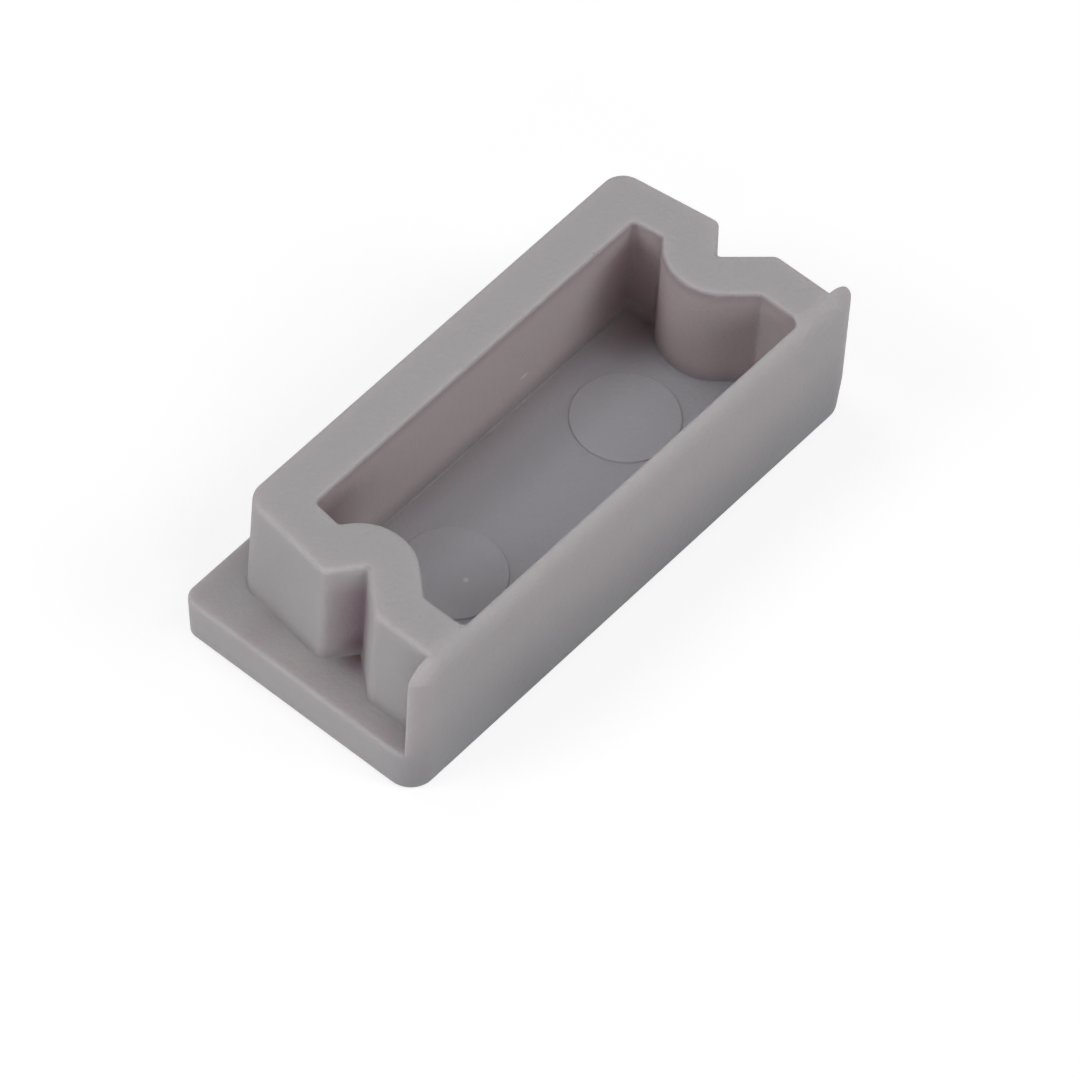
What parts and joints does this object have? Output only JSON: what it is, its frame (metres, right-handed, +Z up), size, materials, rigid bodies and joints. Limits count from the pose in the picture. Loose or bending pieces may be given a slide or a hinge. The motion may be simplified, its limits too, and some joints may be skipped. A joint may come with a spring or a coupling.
{
  "type": "profile end cap",
  "caption": "Moulded end cap for a small surface-mount lighting profile: a flange with a cover lip and a hollow, notched plug that presses into the profile's end.",
  "frame": {"origin": "centre of the flange's outer face, which the cap rests on", "axes": "+X along the flange's long side, +Y from the cover lip towards the plain back edge, +Z up along the plug, into the profile"},
  "size_m": [0.0176, 0.008, 0.0051],
  "materials": {
    "moulded_body": "light warm grey moulded plastic, fine satin grain"
  },
  "bodies": {
    "root": {"end_cap": "moulded_body"}
  },
  "joints": []
}
